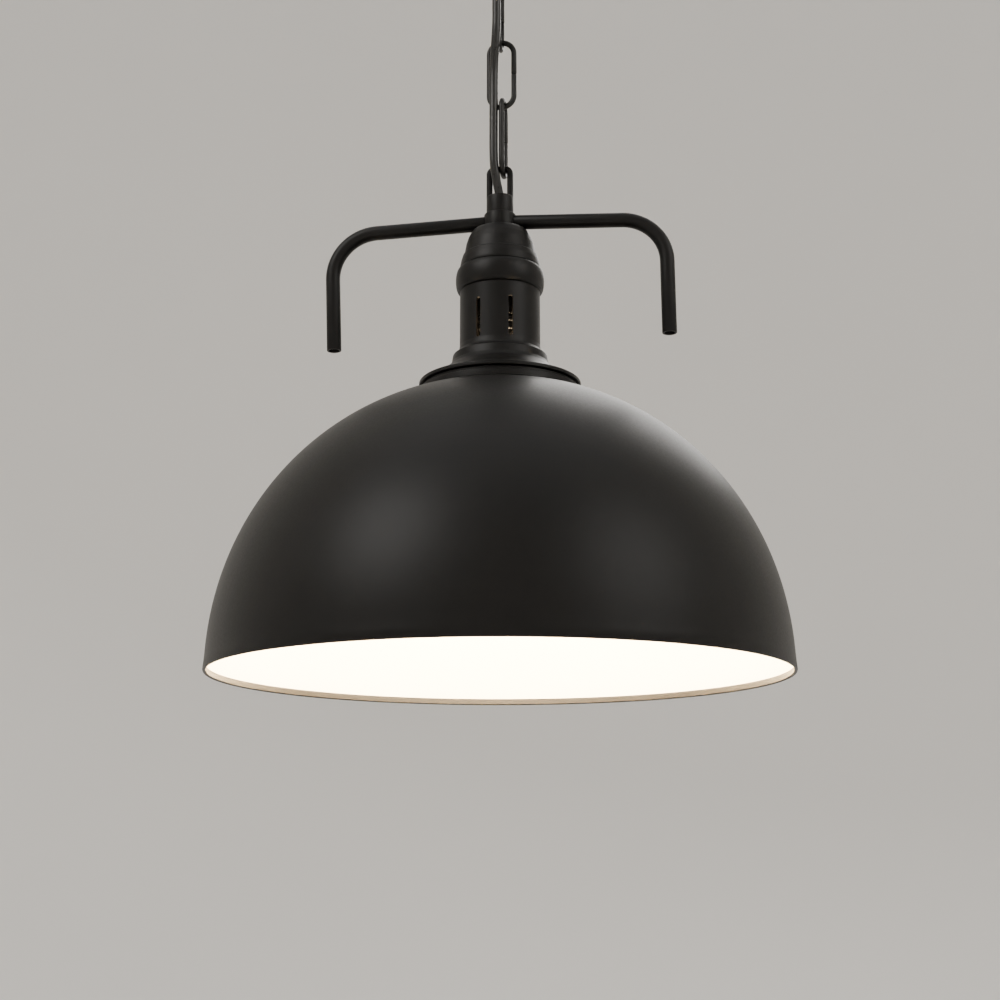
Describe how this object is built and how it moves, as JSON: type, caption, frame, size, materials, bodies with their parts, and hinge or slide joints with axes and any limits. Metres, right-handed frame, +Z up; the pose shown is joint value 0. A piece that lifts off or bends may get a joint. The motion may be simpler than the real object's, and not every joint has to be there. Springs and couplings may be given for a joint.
{
  "type": "pendant ceiling light",
  "caption": "Black metal dome pendant light with a vented neck and two bent side arms, hung by a short chain with its flex from a round ceiling rose.",
  "frame": {"origin": "middle of the bracket's top face, where the light meets the ceiling", "axes": "+Z up into the ceiling, -Y towards the front of the light, +X along the right-hand arm"},
  "size_m": [0.35, 0.35, 0.5103],
  "materials": {
    "black_paint": "satin",
    "white_enamel": "satin",
    "chain_black": "satin",
    "zinc_steel": "satin",
    "black_screw": "satin",
    "white_plastic": "matte",
    "holder_ceramic": "satin",
    "contact_brass": "satin",
    "bulb_metal": "satin",
    "bulb_glass": "frosted",
    "flex_sheath": "matte",
    "core_brown": "satin",
    "core_blue": "satin",
    "core_green": "satin"
  },
  "bodies": {
    "ceiling": {"ceiling_bracket": "zinc_steel", "rose_cup": "black_paint", "rose_side_screw_left": "black_screw", "rose_side_screw_right": "black_screw", "rose_eye": "black_paint", "rose_nipple": "zinc_steel", "rose_washer": "zinc_steel", "rose_nut": "zinc_steel", "terminal_block": "white_plastic", "rose_core_live": "core_brown", "rose_core_earth": "core_green", "rose_core_neutral": "core_blue", "flex_upper": "flex_sheath"},
    "upper_link": {"link_upper": "chain_black", "flex_middle": "flex_sheath"},
    "middle_link": {"link_middle": "chain_black", "flex_lower": "flex_sheath"},
    "lower_link": {"link_lower": "chain_black"},
    "lamp": {"lamp_eye": "black_paint", "arm_hub": "black_paint", "arm_left": "black_paint", "arm_right": "black_paint", "stem_nipple": "zinc_steel", "neck_cap": "black_paint", "lock_washer": "zinc_steel", "lock_nut": "zinc_steel", "vented_neck": "black_paint", "seat_ring": "black_paint", "dome_shade": "black_paint", "ring_nut": "white_enamel", "holder_cover": "holder_ceramic", "holder_body": "holder_ceramic", "holder_shell": "contact_brass", "centre_contact": "contact_brass", "holder_screw_live": "contact_brass", "holder_screw_neutral": "contact_brass", "holder_screw_earth": "contact_brass", "holder_core_live": "core_brown", "holder_core_neutral": "core_blue", "holder_core_earth": "core_green", "flex_lamp": "flex_sheath"},
    "bulb": {"bulb_tip": "contact_brass", "bulb_cap": "bulb_metal", "bulb_glass": "bulb_glass"}
  },
  "joints": [
    {"name": "upper_link_swing", "type": "hinge", "parent": "ceiling", "child": "upper_link", "pos_m": [0, 0, -0.05755], "axis": [1, 0, 0], "range_deg": [-12, 12], "deforming": ["flex_upper"]},
    {"name": "middle_link_swing", "type": "hinge", "parent": "upper_link", "child": "middle_link", "pos_m": [0, 0, -0.09938], "axis": [0, 1, 0], "range_deg": [-15, 15], "deforming": ["flex_middle"]},
    {"name": "lower_link_swing", "type": "hinge", "parent": "middle_link", "child": "lower_link", "pos_m": [0.0022, 0, -0.14095], "axis": [1, 0, 0], "range_deg": [-12, 12], "deforming": ["flex_lower"]},
    {"name": "lamp_swing", "type": "hinge", "parent": "lower_link", "child": "lamp", "pos_m": [0, 0, -0.18466], "axis": [1, 0, 0], "range_deg": [-12, 12], "deforming": ["flex_lamp"]},
    {"name": "bulb_out", "type": "slide", "parent": "lamp", "child": "bulb", "axis": [0, 0, -1], "range_m": [0, 0.24]}
  ]
}
